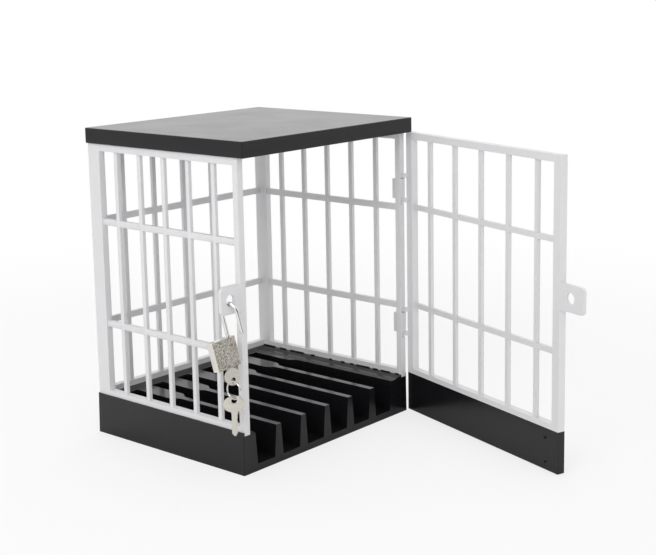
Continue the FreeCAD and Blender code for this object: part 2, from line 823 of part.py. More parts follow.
def sleeve(label, plane, lift, across, up, outer, length, backwards=False):
    """A small coil spring, kept as the sleeve that its turns fill."""
    body = new_body(label)
    section = new_sketch(body, label + "_section", plane, lift)
    circle(section, across, up, outer)
    circle(section, across, up, outer - size("spring_wall"))
    pad(body, label + "_turns", section, length, backwards)
    place_in_lock(body)
    return body


# Shackle spring: lifts the captive leg when the latch lets go
def make_shackle_spring():
    floor = -size("leg_bore_depth")
    return sleeve("shackle_spring", "XY_Plane", floor, 0, 0,
                  size("wire") / 2 - size("plug_fit"), leg_end - floor)


# Latch: a square bolt with a sloping nose and a cross slot for the plug's cam post
def make_latch():
    body = new_body("shackle_latch")
    half = size("latch_size") / 2
    side = new_sketch(body, "latch_side", "XZ_Plane", -half)
    slope = size("latch_nose")
    outline(side, [(latch_nose_x, latch_low), (latch_tail_x, latch_low),
                   (latch_tail_x, latch_top), (latch_nose_x + slope, latch_top),
                   (latch_nose_x, latch_top - slope)])
    pad(body, "latch_bolt", side, size("latch_size"))
    slot = new_sketch(body, "cam_slot_plan", "XY_Plane", latch_low)
    reach = size("cam_post") / 2 + size("plug_fit")
    over = size("cut_over")
    box_outline(slot, cam_x - reach, -half - over, cam_x + reach, half + over)
    pocket(body, "cam_slot", slot, half, True)
    place_in_lock(body)
    return body


# Latch spring: pushes the latch into the free leg's notch
def make_latch_spring():
    half = size("latch_size") / 2
    return sleeve("latch_spring", "YZ_Plane", latch_tail_x, 0, latch_low + half,
                  half - size("plug_fit"), way_end - latch_tail_x)


# Plug: the turning core with its keyway, pin holes, retaining groove and cam post
def make_lock_plug():
    body = new_body("lock_plug")
    plan = new_sketch(body, "plug_plan", "XY_Plane", lock_floor)
    circle(plan, plug_x, 0, plug_radius)
    pad(body, "plug_core", plan, size("plug_length"))
    post = new_sketch(body, "cam_post_plan", "XY_Plane", plug_top)
    circle(post, cam_x, cam_y, size("cam_post") / 2)
    pad(body, "cam_post_rod", post, cam_top - plug_top)
    keyway = new_sketch(body, "keyway_plan", "XY_Plane", lock_floor)
    thick = size("keyway_width") / 2
    play = size("plug_fit")
    box_outline(keyway, blade_left - play, -thick, blade_left + size("key_blade") + play, thick)
    pocket(body, "keyway", keyway, size("key_blade_length") + size("seat_gap"), True)
    holes = new_sketch(body, "plug_hole_plan", "YZ_Plane", plug_x - size("plug_size"))
    for level in pin_levels:
        circle(holes, 0, level, size("pin_size") / 2 + size("plug_fit"))
    pocket(body, "plug_holes", holes, size("plug_size"), True)
    groove = new_sketch(body, "groove_section", "XZ_Plane", 0)
    middle = plug_top - size("retainer_inset")
    half = size("retainer") / 2 + size("plug_fit")
    box_outline(groove, plug_x + plug_radius - half, middle - half,
                plug_x + plug_radius + half, middle + half)
    doc.recompute()
    before = body.Shape.Volume
    revolve(body, "Groove", "retaining_groove", groove, plug_x, 360)
    if body.Shape.Volume > before - 1e-6:
        raise ValueError("the retaining groove cuts nothing")
    place_in_lock(body)
    return body


# Retaining pin: crosses the plug's groove and keeps the plug in its bore
def make_retaining_pin():
    body = new_body("plug_retaining_pin")
    plan = new_sketch(body, "retaining_pin_plan", "XZ_Plane", -size("lock_thick") / 2)
    circle(plan, plug_x + plug_radius, plug_top - size("retainer_inset"), size("retainer") / 2)
    pad(body, "retaining_pin", plan, size("lock_thick") - size("retainer_skin"))
    place_in_lock(body)
    return body


# Small pin stack pieces: each node is one row of equal, separate solids
def make_pin_row(label, start, outer, length, hollow=False):
    rows = []
    for number, level in enumerate(pin_levels):
        rod = doc.addObject("Part::Cylinder", "%s_%d" % (label, number + 1))
        bind(rod, "Radius", outer)
        bind(rod, "Height", length)
        turn = FreeCAD.Rotation(Vector(0, 1, 0), -90)
        rod.Placement = FreeCAD.Placement(Vector(start.value, 0, level.value), turn)
        bind(rod, "Placement.Base.x", start)
        bind(rod, "Placement.Base.z", level)
        if hollow:
            bore = doc.addObject("Part::Cylinder", "%s_bore_%d" % (label, number + 1))
            bind(bore, "Radius", outer - size("spring_wall"))
            bind(bore, "Height", length)
            bore.Placement = rod.Placement
            bind(bore, "Placement.Base.x", start)
            bind(bore, "Placement.Base.z", level)
            tube = doc.addObject("Part::Cut", "%s_tube_%d" % (label, number + 1))
            tube.Base = rod
            tube.Tool = bore
            rod = tube
        rows.append(rod)
    group = doc.addObject("Part::Compound", label)
    group.Label = label
    group.Links = rows
    place_in_lock(group)
    pieces.append(group)
    return group


def key_plate(body, name, plane, lift, middle_x, middle_z, bow, blade_left, blade_right,
              blade_end, hole_z):
    """A flat key: a round bow with a ring hole and a blade with three cuts."""
    plate = new_sketch(body, name + "_bow", plane, lift)
    circle(plate, middle_x, middle_z, bow / 2)
    circle(plate, middle_x, hole_z, size("key_hole") / 2)
    pad(body, name + "_bow_plate", plate, size("key_thick"))
    blade = new_sketch(body, name + "_blade", plane, lift)
    tip = (blade_right - blade_left) / 4
    sign = 1 if as_size(blade_end).value > as_size(middle_z).value else -1
    root = middle_z + bow * 0.3 * sign
    outline(blade, [(blade_left, root), (blade_right, root), (blade_right, blade_end - tip * sign),
                    (blade_right - tip, blade_end), (blade_left + tip, blade_end),
                    (blade_left, blade_end - tip * sign)])
    pad(body, name + "_blade_plate", blade, size("key_thick"))


# Key in the lock: its blade fills the keyway and its bow hangs below the body
def make_key_in_lock():
    body = new_body("key_in_lock")
    key_plate(body, "key", "XZ_Plane", -size("key_thick") / 2, bow_x, bow_middle,
              size("key_bow"), blade_left, blade_left + size("key_blade"),
              lock_floor + size("key_blade_length"), key_hole_z)
    place_in_lock(body)
    return body


def key_hole_place():
    """Where the key in the lock carries the ring, in the part's frame."""
    return lock_placement().multVec(Vector(bow_x.value, 0, key_hole_z.value))


def ring_top():
    """The middle of the ring's wire where it rests in the first key's hole."""
    place = key_hole_place()
    drop = (size("key_hole") - size("ring_wire")) / 2 - size("ring_gap")
    return place - Vector(0, 0, drop.value)


def ring_bottom():
    span = size("ring_size") - size("ring_wire")
    return ring_top() - Vector(0, 0, span.value)


# Key ring: one closed wire loop that stands square to the keys
def make_key_ring():
    body = new_body("key_ring")
    section = new_sketch(body, "ring_section", "XZ_Plane", 0)
    middle = (size("ring_size") - size("ring_wire")) / 2
    wire_section(section, middle, as_size(0), size("ring_wire") / 2, "ring_sides")
    revolve(body, "Revolution", "ring_loop", section, as_size(0), 360)
    centre = (ring_top() + ring_bottom()) * 0.5
    body.Placement = FreeCAD.Placement(centre, FreeCAD.Rotation(Vector(0, 1, 0), 90))
    return body


# Spare key: hangs from the ring's lowest point, turned to the front left
def make_spare_key():
    body = new_body("spare_key")
    hole_z = (size("ring_wire") - size("key_hole")) / 2 + size("ring_gap")
    middle = hole_z + size("key_hole") / 2 + size("key_hole_wall") - size("spare_bow") / 2
    tip = middle + size("spare_bow") / 2 - size("spare_length")
    half = size("spare_blade") / 2
    key_plate(body, "spare", "XZ_Plane", -size("key_thick") / 2, 0, middle,
              size("spare_bow"), -half, half, tip, hole_z)
    spin = FreeCAD.Rotation(Vector(0, 0, 1), size("spare_yaw").value)
    body.Placement = FreeCAD.Placement(ring_bottom(), spin)
    return body


def check_and_write():
    """Refuse a failed feature or an empty solid, then write one file a piece."""
    doc.recompute()
    for item in doc.Objects:
        if "Invalid" in item.State or "Error" in item.State:
            raise ValueError("failed: %s %s" % (item.Name, item.State))
    os.makedirs("parts", exist_ok=True)
    for piece in pieces:
        shape = piece.Shape
        if shape.isNull() or not shape.isValid():
            raise ValueError("bad shape: %s" % piece.Label)
        shape.exportStep("parts/%s.step" % piece.Label)
        box = shape.BoundBox
        print("%-24s %2d solid %9.1f mm3  X %.1f..%.1f Y %.1f..%.1f Z %.1f..%.1f" % (
            piece.Label, len(shape.Solids), shape.Volume,
            box.XMin, box.XMax, box.YMin, box.YMax, box.ZMin, box.ZMax))


make_base_tray()
make_lid()
make_side_panel("left_panel", -1)
make_side_panel("right_panel", 1)
make_back_panel()
make_door_panel()
make_door_kick_board()
for knuckle, height in hinge_levels.items():
    make_hinge(knuckle, height)
make_padlock_body()
make_shackle()
make_shackle_spring()
make_latch()
make_latch_spring()
make_lock_plug()
make_retaining_pin()
play = size("pin_size") / 2
make_pin_row("key_pins", key_pin_x + size("key_pin"), play, size("key_pin"))
make_pin_row("driver_pins", driver_x, play, size("driver_pin"))
make_pin_row("pin_springs", spring_x, play, spring_x - chamber_plug_x, True)
make_pin_row("chamber_plugs", chamber_plug_x, play, size("chamber_plug"))
make_key_in_lock()
make_key_ring()
make_spare_key()
check_and_write()
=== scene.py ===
# %% [markdown]
# # A barred phone cage with a small padlock
# The object is a toy-sized cage that keeps phones out of reach. A black moulded
# tray holds the phones upright in six slots, white barred panels stand round it,
# and a black lid closes the top. A barred door hangs open on the right, and a small
# padlock with two keys hangs from a lug on the left.
# The measured model comes first and never moves. Everything below gives it the
# rounded edges, the wires and keys, the finishes and the light that make it look
# like the real thing.

# %% Load the measured model
import bpy
import json
import math
from mathutils import Matrix, Vector

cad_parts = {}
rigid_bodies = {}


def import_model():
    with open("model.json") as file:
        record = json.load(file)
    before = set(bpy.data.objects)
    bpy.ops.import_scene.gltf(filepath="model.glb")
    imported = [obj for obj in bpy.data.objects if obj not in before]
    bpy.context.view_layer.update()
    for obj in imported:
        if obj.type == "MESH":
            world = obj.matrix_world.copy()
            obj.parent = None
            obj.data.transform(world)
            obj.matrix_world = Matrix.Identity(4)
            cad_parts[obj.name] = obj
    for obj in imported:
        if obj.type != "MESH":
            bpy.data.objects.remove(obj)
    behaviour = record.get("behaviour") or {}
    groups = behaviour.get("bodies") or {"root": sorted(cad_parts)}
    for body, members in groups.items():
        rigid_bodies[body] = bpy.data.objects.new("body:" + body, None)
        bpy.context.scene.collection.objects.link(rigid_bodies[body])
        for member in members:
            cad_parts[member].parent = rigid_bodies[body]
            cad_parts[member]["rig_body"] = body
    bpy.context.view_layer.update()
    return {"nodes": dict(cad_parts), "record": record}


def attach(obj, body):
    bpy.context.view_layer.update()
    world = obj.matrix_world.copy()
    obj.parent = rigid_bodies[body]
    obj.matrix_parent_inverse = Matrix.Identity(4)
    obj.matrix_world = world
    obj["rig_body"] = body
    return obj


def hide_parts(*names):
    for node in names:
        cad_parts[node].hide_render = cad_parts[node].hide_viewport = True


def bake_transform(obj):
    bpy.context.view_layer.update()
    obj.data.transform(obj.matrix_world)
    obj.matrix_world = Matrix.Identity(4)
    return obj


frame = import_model()
MM = 0.001

# %% [markdown]
# ## Camera
# The photograph looks down on the front left corner. The camera's place and its
# three directions were worked out from the straight edges of the box. A camera in
# Blender looks along its own -Z, so the three directions are its right, its up and
# the way back from the subject. It could be moved by eye until the picture fits,
# but the edges place it to about half a pixel.

# %% Place the camera
PHOTO_WIDTH = 656
PHOTO_HEIGHT = 555
FOCAL_PIXELS = 1351.8
CENTRE_PIXEL = (341.89, 214.03)
camera_place = Vector((-635.7, -623.0, 298.0)) * MM
view_right = Vector((0.6469, -0.7624, -0.0165)).normalized()
view_away = Vector((0.7492, 0.6394, -0.1726)).normalized()
view_up = view_right.cross(view_away)

camera_data = bpy.data.cameras.new("camera")
camera_data.sensor_width = 36.0
camera_data.lens = FOCAL_PIXELS / PHOTO_WIDTH * camera_data.sensor_width
camera_data.shift_x = (PHOTO_WIDTH / 2 - CENTRE_PIXEL[0]) / PHOTO_WIDTH
camera_data.shift_y = (CENTRE_PIXEL[1] - PHOTO_HEIGHT / 2) / PHOTO_WIDTH
camera = bpy.data.objects.new("camera", camera_data)
turn = Matrix((view_right, view_up, -view_away)).transposed()
camera.matrix_world = Matrix.Translation(camera_place) @ turn.to_4x4()
bpy.context.scene.collection.objects.link(camera)
bpy.context.scene.camera = camera
print("lens mm:", round(camera_data.lens, 2))

# %% [markdown]
# ## Writing nodes as sums
# A finish is a colour with a little noise in its roughness and its relief, and the
# room's light depends on the kind of ray that looks at it. Both are node trees.
# Their nodes could be added and joined one by one, but a mask takes many of them.
# So each number in a tree is wrapped in a small class, a mask is written as plain
# arithmetic, and the class adds the matching Math nodes.

# %% A wrapper for numbers in a node tree


class Amount:
    """A number that varies: one output socket in a tree."""

    def __init__(self, graph, socket):
        self.graph = graph
        self.socket = socket

    def combine(self, operation, first, second):
        return self.graph.node("ShaderNodeMath", {"operation": operation}, [first, second])

    def __add__(self, other):
        return self.combine("ADD", self, other)

    def __radd__(self, other):
        return self.combine("ADD", other, self)

    def __sub__(self, other):
        return self.combine("SUBTRACT", self, other)

    def __rsub__(self, other):
        return self.combine("SUBTRACT", other, self)

    def __mul__(self, other):
        return self.combine("MULTIPLY", self, other)

    def __rmul__(self, other):
        return self.combine("MULTIPLY", other, self)


class Graph:
    """A node tree, and the one way in which nodes are added to it."""

    def __init__(self, tree):
        self.tree = tree

    def node(self, kind, settings, inputs, output=0):
        """Add a node, set it up, feed its sockets and wrap one output."""
        made = self.tree.nodes.new(kind)
        for name, value in settings.items():
            setattr(made, name, value)
        named = inputs.items() if isinstance(inputs, dict) else enumerate(inputs)
        for key, value in named:
            if isinstance(value, Amount):
                self.feed(value, made.inputs[key])
            else:
                made.inputs[key].default_value = value
        return Amount(self, made.outputs[output])

    def feed(self, amount, target):
        """Let an amount drive an input socket."""
        self.tree.links.new(amount.socket, target)

    def ray(self, kind):
        """1 for rays of one kind and 0 for all others."""
        return self.node("ShaderNodeLightPath", {}, {}, kind)

    def ramp(self, amount, start, end, first, last, shape="SMOOTHSTEP"):
        """Go from a first to a last value as an amount goes from start to end."""
        return self.node("ShaderNodeMapRange", {"interpolation_type": shape}, {
            "Value": amount, "From Min": start, "From Max": end,
            "To Min": first, "To Max": last})


# %% [markdown]
# ## Room
# White plastic reads as white only when the light is even. A picture of a studio
# could light it, but a pale dome with three large soft lamps needs no image. What
# is seen of the dome, straight or in metal, is white, and the light that it sheds
# is weaker, so the whites keep their shade.
# Bright metal needs something dark to mirror, so the front of the room is dark in
# reflections, as it is in a studio beside the camera. For the same reason the
# front lamp doesn't show in them.

# %% Light the room
scene = bpy.context.scene
scene.view_settings.view_transform = "Standard"
ROOM_LIGHT = 0.58
DARK_SIDE = (-0.3, -0.95, 0.08)
DARK_FROM, DARK_FULL, DARKNESS = 0.76, 0.92, 0.95

world = bpy.data.worlds.new("pale_room")
scene.world = world
world.use_nodes = True
room = Graph(world.node_tree)
backdrop = room.tree.nodes["Background"]
backdrop.inputs["Color"].default_value = (1.0, 1.0, 1.0, 1.0)
direction = room.node("ShaderNodeTexCoord", {}, {}, "Generated")
facing = room.node("ShaderNodeVectorMath", {"operation": "DOT_PRODUCT"},
                   [direction, DARK_SIDE], "Value")
dark = room.ramp(facing, DARK_FROM, DARK_FULL, 0.0, DARKNESS)
level = room.ramp(room.ray("Is Diffuse Ray"), 0.0, 1.0, 1.0, ROOM_LIGHT, "LINEAR")
room.feed(level - dark * room.ray("Is Glossy Ray"), backdrop.inputs["Strength"])
MIDDLE = Vector((0.0, 0.0, 0.1))


def add_lamp(name, place, width, watts, mirrored=True):
    """A square soft lamp that points at the middle of the cage."""
    data = bpy.data.lights.new(name, "AREA")
    data.size = width
    data.energy = watts
    lamp = bpy.data.objects.new(name, data)
    scene.collection.objects.link(lamp)
    lamp.location = place
    lamp.rotation_euler = (MIDDLE - lamp.location).to_track_quat("-Z", "Y").to_euler()
    lamp.visible_glossy = mirrored
    print(name, "watts:", watts)


add_lamp("key_lamp", (-1.35, -0.3, 1.15), width=0.9, watts=9.0)
add_lamp("front_lamp", (-0.7, -1.55, 0.5), width=1.0, watts=4.5, mirrored=False)
add_lamp("top_lamp", (0.3, 0.4, 1.8), width=1.2, watts=8.0)

# %% [markdown]
# ## Finishes
# A finish starts from one surface shader with a colour and a metal share. Noise
# then blends its colour towards a second one, and varies its roughness and its
# relief. An image wrapped round the piece could do the same, but noise needs no
# unwrapping and stays fine at any distance. It reads the place on the object, so
# it stays put as pieces move.

# %% A finish
MIX_SHARE, MIX_FIRST, MIX_SECOND, MIX_RESULT = 0, 6, 7, 2


class Finish(Graph):
    """A material with one surface shader, and the ways in which it is varied."""

    def __init__(self, name, colour, metallic=0.0, roughness=0.5):
        self.material = bpy.data.materials.new(name)
        self.material.use_nodes = True
        super().__init__(self.material.node_tree)
        self.shader = self.tree.nodes["Principled BSDF"]
        self.shader.inputs["Base Color"].default_value = (*colour, 1.0)
        self.shader.inputs["Roughness"].default_value = roughness
        self.shader.inputs["Metallic"].default_value = metallic
        self.colour = colour
        self.place = self.node("ShaderNodeTexCoord", {}, {}, "Object")

    def noise(self, grain, detail=2.0, rough=0.5):
        """Cloudy noise from 0 to 1 whose blobs are about one grain wide, in metres."""
        return self.node("ShaderNodeTexNoise", {}, {
            "Vector": self.place, "Scale": 1.0 / grain, "Detail": detail, "Roughness": rough})

    def cells(self, grain):
        """Distance to the nearest of many scattered points, for a hammered relief."""
        return self.node("ShaderNodeTexVoronoi", {"feature": "SMOOTH_F1"}, {
            "Vector": self.place, "Scale": 1.0 / grain, "Smoothness": 0.6})

    def tint(self, amount, second):
        """Blend the base colour towards a second one."""
        mixed = self.node("ShaderNodeMix", {"data_type": "RGBA"}, {
            MIX_SHARE: amount, MIX_FIRST: (*self.colour, 1.0),
            MIX_SECOND: (*second, 1.0)}, MIX_RESULT)
        self.feed(mixed, self.shader.inputs["Base Color"])

    def roughen(self, amount):
        self.feed(amount, self.shader.inputs["Roughness"])

    def relief(self, height, depth):
        """Raise the surface by a height from 0 to 1, over a depth in metres."""
        bump = self.node("ShaderNodeBump", {}, {
            "Strength": 1.0, "Distance": depth, "Height": height})
        self.feed(bump, self.shader.inputs["Normal"])


# %% [markdown]
# ## Black plastic
# The tray, the lid and the door's foot are moulded in black plastic with a fine
# satin grain a few tenths of a millimetre wide. The grain could be modelled, but it
# is far too fine for that, so a shallow bump of noise stands for it. The plastic is
# shiny enough to mirror what it faces at a low angle, and broad clouds vary its
# shine, as handling does.

# %% Black moulded plastic
black = Finish("black_plastic", (0.0042, 0.0038, 0.0045))
grain = black.noise(0.45 * MM, 3.0)
clouds = black.noise(28 * MM, 3.0)
black.tint(clouds * 0.5 + grain * 0.25, (0.009, 0.008, 0.0095))
black.roughen(clouds * 0.08 + grain * 0.06 + 0.14)
black.relief(grain, 0.008 * MM)
black.shader.inputs["Specular IOR Level"].default_value = 0.42
print("finish:", black.material.name)

# %% [markdown]
# ## White plastic
# The panels and the door are a little duller. One even white could do, but it would
# look like paper, so there are faint flow clouds from the moulding and a slow
# waviness that bends the reflections.

# %% White moulded plastic
white = Finish("white_plastic", (0.75, 0.75, 0.76))
flow = white.noise(18 * MM, 2.0)
fine = white.noise(0.8 * MM, 2.0)
white.tint(flow * 0.7, (0.71, 0.705, 0.71))
white.roughen(flow * 0.1 + fine * 0.06 + 0.26)
white.relief(white.noise(6 * MM, 1.0) * 0.8 + fine * 0.1, 0.02 * MM)
print("finish:", white.material.name)

# %% [markdown]
# ## Padlock metals
# The case is cast and sprayed with a hammered, speckled warm grey on its two broad
# faces, and its edges are polished to a creamy silver. The hammering could be cut
# into the mesh, but it is only a third of a millimetre deep, so a bump stands for
# it. The shackle and ring are bright plated wire, and the keys are nickel plated
# and tumbled. The plug and pins inside are brass, and the springs are steel.

# %% Padlock finishes
casting = Finish("hammered_casting", (0.17, 0.155, 0.135), metallic=0.55)
dimple = casting.cells(0.75 * MM)
speckle = casting.noise(0.9 * MM, 3.0, 0.7)
casting.tint(speckle * 3.6 - 1.3, (0.66, 0.62, 0.55))
casting.roughen(speckle * 0.3 + 0.2)
casting.relief(dimple * 0.8 + speckle * 0.5, 0.3 * MM)

polished = Finish("polished_edge", (0.80, 0.77, 0.70), metallic=1.0)
brushing = polished.noise(0.35 * MM, 3.0)
polished.roughen(brushing * 0.16 + 0.12)
polished.relief(brushing, 0.006 * MM)

chrome = Finish("chrome_wire", (0.80, 0.79, 0.77), metallic=1.0)
drawn = chrome.noise(0.3 * MM, 2.0)
chrome.roughen(drawn * 0.12 + 0.04)
chrome.relief(drawn, 0.003 * MM)

nickel = Finish("nickel_key", (0.76, 0.73, 0.66), metallic=1.0)
tumble = nickel.noise(0.4 * MM, 4.0, 0.7)
nickel.tint(tumble * 0.8, (0.62, 0.59, 0.53))
nickel.roughen(tumble * 0.3 + 0.14)
nickel.relief(tumble, 0.02 * MM)

brass = Finish("turned_brass", (0.72, 0.55, 0.26), metallic=1.0)
turning = brass.noise(0.3 * MM, 3.0)
brass.tint(turning * 0.6, (0.6, 0.44, 0.2))
brass.roughen(turning * 0.2 + 0.2)

steel = Finish("spring_steel", (0.58, 0.57, 0.55), metallic=1.0)
wear = steel.noise(0.5 * MM, 3.0)
steel.tint(wear * 0.6, (0.45, 0.44, 0.42))
steel.roughen(wear * 0.2 + 0.22)
print("finishes:", len(bpy.data.materials))

# %% [markdown]
# ## Give every measured piece its finish
# Each piece could be given its finish by hand, but the record already names a
# material slot for it, so a short table does the work. The springs, the latch and
# the retaining pin are bare steel, and the plugs that close the pin chambers are
# polished flush with the case. They stand in a second table, which comes first.

# %% Dress the measured pieces
finish_of_slot = {
    "black_plastic": black, "white_plastic": white, "lock_casting": casting,
    "chrome_wire": chrome, "plated_steel": nickel, "brass": brass}
finish_of_node = {
    "shackle_spring": steel, "latch_spring": steel, "pin_springs": steel,
    "shackle_latch": steel, "plug_retaining_pin": steel, "chamber_plugs": polished}
slot_of = {item["node"]: item["material_slot"] for item in frame["record"]["subparts"]}
for name, piece in frame["nodes"].items():
    finish = finish_of_node.get(name, finish_of_slot[slot_of[name]])
    piece.data.materials.clear()
    piece.data.materials.append(finish.material)
print("dressed pieces:", len(slot_of))

# %% [markdown]
# ## Working on one piece
# An operator acts on all that is selected, and the measured pieces come in
# selected. So each piece is first made the only one, and its whole mesh is selected
# in edit mode. These steps could be written out for every piece, but they repeat,
# so each is a short helper.

# %% Helpers for one piece


def copy_of(node, ending):
    """A piece with its own copy of a measured mesh."""
    piece = bpy.data.objects.new(node + ending, frame["nodes"][node].data.copy())
    scene.collection.objects.link(piece)
    return piece


def select_only(piece):
    """Make one object the only one that operators act on."""
    bpy.ops.object.select_all(action="DESELECT")
    piece.select_set(True)
    bpy.context.view_layer.objects.active = piece


def edit_all(piece, *steps):
    """Run mesh operators, each with its settings, on the whole of one piece."""
    select_only(piece)
    bpy.ops.object.mode_set(mode="EDIT")
    bpy.ops.mesh.select_all(action="SELECT")
    for operator, settings in steps:
        operator(**settings)
    bpy.ops.object.mode_set(mode="OBJECT")


def smooth(piece, degrees):
    """Shade smoothly over edges that turn less than an angle."""
    select_only(piece)
    bpy.ops.object.shade_smooth_by_angle(angle=math.radians(degrees))


def apply_modifier(piece, name, kind, **settings):
    """Add a modifier to a piece, set it up and apply it."""
    select_only(piece)
    modifier = piece.modifiers.new(name, kind)
    for setting, value in settings.items():
        setattr(modifier, setting, value)
    bpy.ops.object.modifier_apply(modifier=modifier.name)


def stand_in(piece, node):
    """Let a finished piece take the place of a measured one, on the same body."""
    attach(piece, frame["nodes"][node]["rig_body"])
    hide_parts(node)
    print(piece.name, "faces:", len(piece.data.polygons))


# %% [markdown]
# ## Rounded edges
# A moulding has no sharp edges: every corner has a small radius that catches the
# light. It could be part of the measured solid, but would multiply its faces, so it
# is made on a copy of the measured piece. The copy's loose triangles are merged and
# its flat faces joined again, and then a bevel rounds what is sharp.
# Weighted normals keep the large faces flat in their reflections, so that only the
# bevels shade from one face to the next.

# %% Round a copy of a measured piece
EDGE_RADIUS = {
    "base_tray": 0.45, "lid": 0.6, "door_kick_board": 0.5, "left_panel": 0.3,
    "right_panel": 0.3, "back_panel": 0.3, "door_panel": 0.3,
    "hinge_block_lower": 0.3, "hinge_block_upper": 0.3,
    "padlock_body": 0.3, "key_in_lock": 0.15}
MERGE = 0.002 * MM
FLAT = math.radians(0.6)
SHARP = math.radians(40.0)


def rounded_copy(node, radius):
    """A copy of a node with joined faces and rounded edges, which stands for it."""
    copy = copy_of(node, "_moulded")
    edit_all(copy, (bpy.ops.mesh.remove_doubles, {"threshold": MERGE}),
             (bpy.ops.mesh.dissolve_limited, {"angle_limit": FLAT}))
    apply_modifier(copy, "edges", "BEVEL", width=radius, segments=2,
                   limit_method="ANGLE", angle_limit=SHARP)
    smooth(copy, degrees=50)
    apply_modifier(copy, "flat_faces", "WEIGHTED_NORMAL", weight=100, keep_sharp=True)
    stand_in(copy, node)
    return copy


moulded = {node: rounded_copy(node, radius * MM) for node, radius in EDGE_RADIUS.items()}

# %% [markdown]
# ## The padlock's two finishes
# The broad faces of the case keep the hammered finish, and its edges, top and
# bottom are polished. They could be a piece of their own, but the real case is one
# casting. So it stays one piece, and those faces take a second material.

# %% Polish the edges of the padlock
case = moulded["padlock_body"]
case.data.materials.append(polished.material)
SAME_WAY = 0.9
broad = max(case.data.polygons, key=lambda face: face.area).normal.copy()
edges = [face for face in case.data.polygons if abs(face.normal.dot(broad)) < SAME_WAY]
for face in edges:
    face.material_index = 1
print("polished faces:", len(edges))

# %% [markdown]
# ## Bent wire
# The shackle is one round bar bent into a hoop, and the key ring is two turns of
# thinner wire that lie flat against each other. A curve with a round bevel could
# make both, but its ends would be cut off square. So a ring of corners is carried
# along a path of points. Each ring starts from the turn of the one before it, so
# the wire doesn't twist, and its two ends get a small chamfer.

# %% Carry a wire along a path
CHAMFER = 0.2


def add_mesh(name, corners, faces):
    """A new piece from its corners and faces, with the corners in their place."""
    mesh = bpy.data.meshes.new(name)
    mesh.from_pydata(corners, [], faces)
    piece = bpy.data.objects.new(name, mesh)
    scene.collection.objects.link(piece)
    return piece


def wire(name, path, radius, sides):
    """A round wire with chamfered ends through the points of a path."""
    last = len(path) - 1
    stations = [(0, 0.0, 1 - CHAMFER), (0, CHAMFER, 1.0)]
    stations += [(i, 0.0, 1.0) for i in range(1, last)]
    stations += [(last, -CHAMFER, 1.0), (last, 0.0, 1 - CHAMFER)]
    corners, faces = [], []
    side = None
    for i, shift, share in stations:
        along = (path[min(i + 1, last)] - path[max(i - 1, 0)]).normalized()
        side = side or along.orthogonal().normalized()
        side = (side - along * side.dot(along)).normalized()
        up = along.cross(side)
        centre = path[i] + along * radius * shift
        for step in range(sides):
            angle = math.tau * step / sides
            outward = side * math.cos(angle) + up * math.sin(angle)
            corners.append(centre + outward * (radius * share))
    for station in range(len(stations) - 1):
        first = station * sides
        for step in range(sides):
            after = (step + 1) % sides
            faces.append((first + step, first + after,
                          first + sides + after, first + sides + step))
    faces.append(tuple(reversed(range(sides))))
    faces.append(tuple(range(len(corners) - sides, len(corners))))
    return add_mesh(name, corners, faces)


# %% [markdown]
# ## Shackle
# The shackle's place is worked out from the hole in the padlock's top where its
# captive leg goes in. From there one leg runs up, the wire turns through a half
# circle, and the free leg comes down to just past its latch notch. Two rods and half
# a torus could make it, but one path has no seams. The padlock hangs open, so the
# shackle is turned away from the second hole.

# %% Bend the shackle
mouth = Vector((-87.45, -64.32, 88.45)) * MM
lock_up = Vector((-0.104092, 0.197891, 0.974681))
lock_side = Vector((0.973129, -0.182116, 0.140901))
lock_front = lock_up.cross(lock_side)
OPEN_ANGLE = math.radians(110.2)
WIRE_RADIUS = 1.25 * MM
SKIN = 0.995
BEND_RADIUS = 5.65 * MM
LEG_TOP, CAPTIVE_END, FREE_END = 14.2 * MM, -4.5 * MM, 1.4 * MM
LEG_STEPS, ARCH_STEPS = 6, 32
across = -(lock_side * math.cos(OPEN_ANGLE) + lock_front * math.sin(OPEN_ANGLE))


def in_shackle(out, up):
    """A point in the shackle's own plane, as a place in the room."""
    return mouth + across * out + lock_up * up


def leg(out, start, end):
    """Even steps along a leg at a distance out from the captive one."""
    return [in_shackle(out, start + (end - start) * i / LEG_STEPS)
            for i in range(LEG_STEPS + 1)]


turns = [math.pi * i / ARCH_STEPS for i in range(1, ARCH_STEPS)]
arch = [in_shackle(BEND_RADIUS * (1 - math.cos(turn)),
                   LEG_TOP + BEND_RADIUS * math.sin(turn)) for turn in turns]
route = leg(0, CAPTIVE_END, LEG_TOP) + arch + leg(2 * BEND_RADIUS, LEG_TOP, FREE_END)
shackle = wire("bent_shackle", route, WIRE_RADIUS * SKIN, sides=32)
print("points along the shackle:", len(route))

# %% [markdown]
# ## The notch for the latch
# The free leg has a square notch on its inner side, which the latch slides into. It
# could be drawn into the path, but a real notch is cut into finished wire. So a
# small block stands where the notch goes, and a Boolean takes it away.

# %% Cut the notch
OUTWARD = (bpy.ops.mesh.normals_make_consistent, {"inside": False})
NOTCH_FROM, NOTCH_TO, NOTCH_FLOOR = 3.2 * MM, 5.2 * MM, 0.35 * MM
notch_out = 2 * BEND_RADIUS - NOTCH_FLOOR
REACH = 2 * WIRE_RADIUS
block = add_mesh(
    "notch_block",
    [in_shackle(out, up) + lock_up.cross(across) * aside
     for out in (notch_out - REACH, notch_out)
     for up in (NOTCH_FROM, NOTCH_TO) for aside in (-REACH, REACH)],
    [(0, 1, 3, 2), (4, 6, 7, 5), (0, 4, 5, 1), (2, 3, 7, 6), (0, 2, 6, 4), (1, 5, 7, 3)])
edit_all(block, OUTWARD)
apply_modifier(shackle, "notch", "BOOLEAN", operation="DIFFERENCE", object=block)
bpy.data.objects.remove(block)
smooth(shackle, degrees=30)
shackle.data.materials.append(chrome.material)
stand_in(shackle, "shackle")

